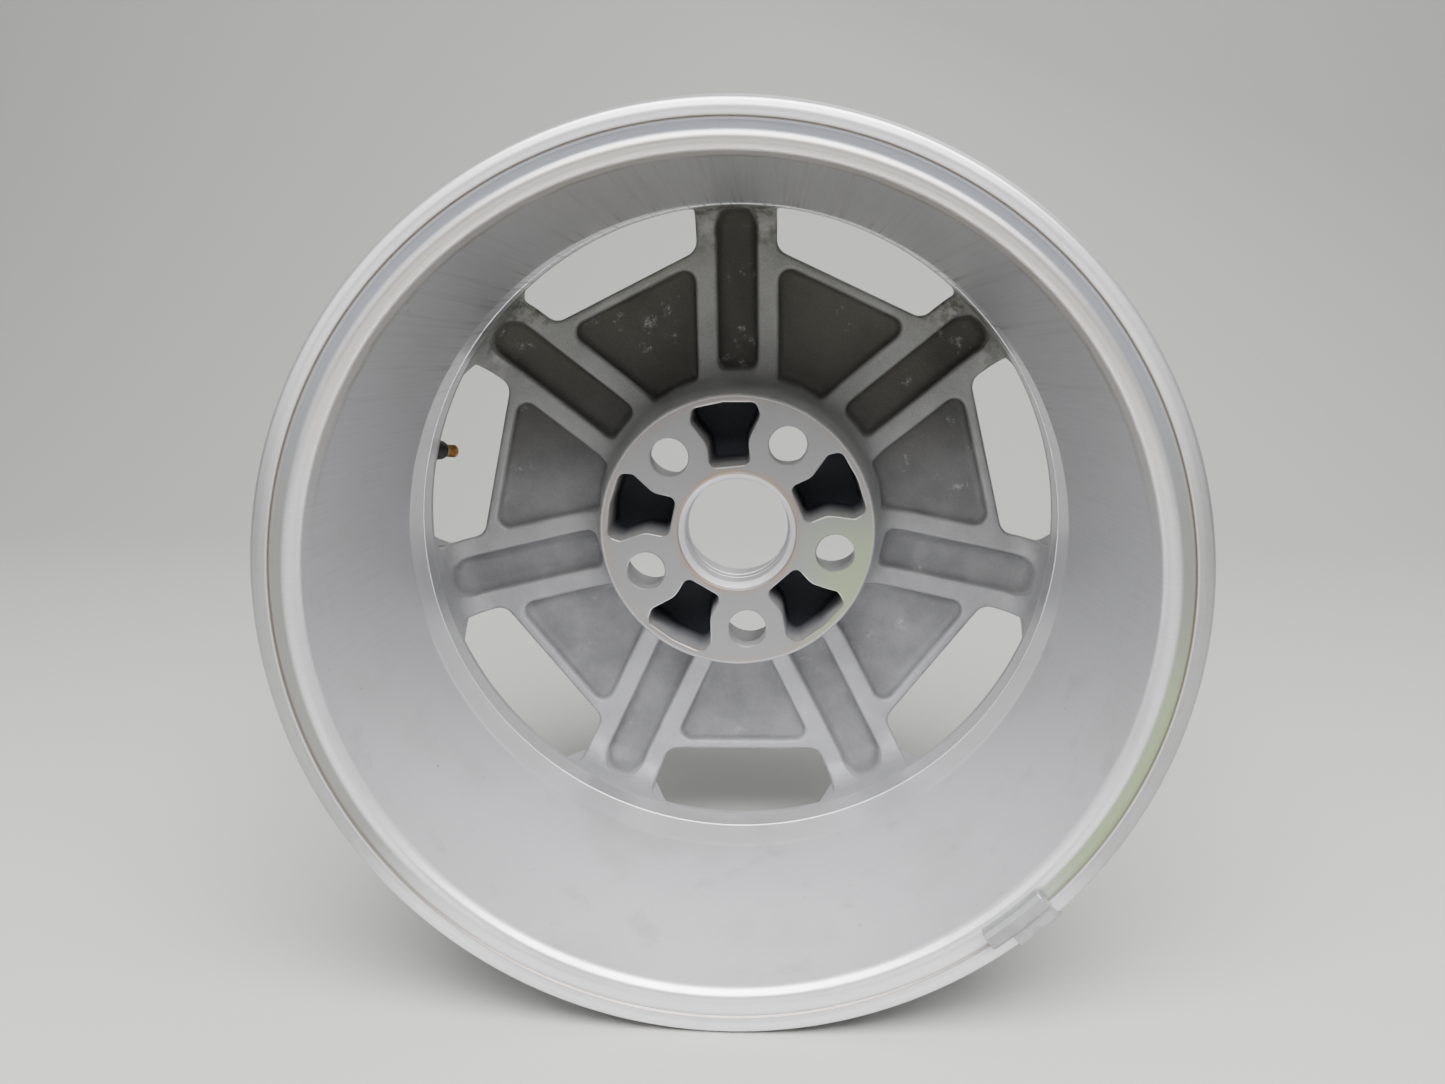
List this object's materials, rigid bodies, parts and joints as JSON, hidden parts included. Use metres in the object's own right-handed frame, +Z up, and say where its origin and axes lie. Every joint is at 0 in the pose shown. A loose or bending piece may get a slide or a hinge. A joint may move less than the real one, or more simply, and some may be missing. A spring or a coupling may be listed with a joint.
{
  "type": "alloy car wheel rim",
  "caption": "Alloy car wheel: deep tapering barrel, ribbed spokes with pockets, machined hub pad with bolt holes, snap-in valve and clip-on balance weight.",
  "frame": {"origin": "on the axle line, midway between the two rim flanges: the rim's middle plane, 43 mm inboard of the hub mounting pad", "axes": "the wheel spins about +Y; +Y points outboard, to the kerb side, and -Y inboard, to the brake; +Z is up with the wheel standing on its flanges, and +X is to the right as seen from inboard"},
  "size_m": [0.4404, 0.2226, 0.4403],
  "materials": {
    "alloy": "satin",
    "valve_rubber": "matte",
    "valve_brass": "satin",
    "core_seal": "matte",
    "core_steel": "satin",
    "weight_zinc": "satin",
    "clip_steel": "satin"
  },
  "bodies": {
    "wheel": {"wheel_body": "alloy", "valve_rubber_stem": "valve_rubber", "valve_brass_insert": "valve_brass", "valve_core_plug": "valve_brass", "valve_core_barrel": "valve_brass", "valve_core_gasket": "core_seal", "valve_core_spring": "core_steel", "balance_weight_body": "weight_zinc", "balance_weight_clip": "clip_steel"},
    "valve_pin": {"valve_core_pin": "core_steel", "valve_core_cup": "valve_brass", "valve_core_seal": "core_seal"}
  },
  "joints": [
    {"name": "valve_pin_press", "type": "slide", "parent": "wheel", "child": "valve_pin", "axis": [-0.7557, -0.632, 0.1717], "range_m": [0, 0.0012], "stiffness_N_per_m": 900, "springref_m": -0.0016}
  ]
}
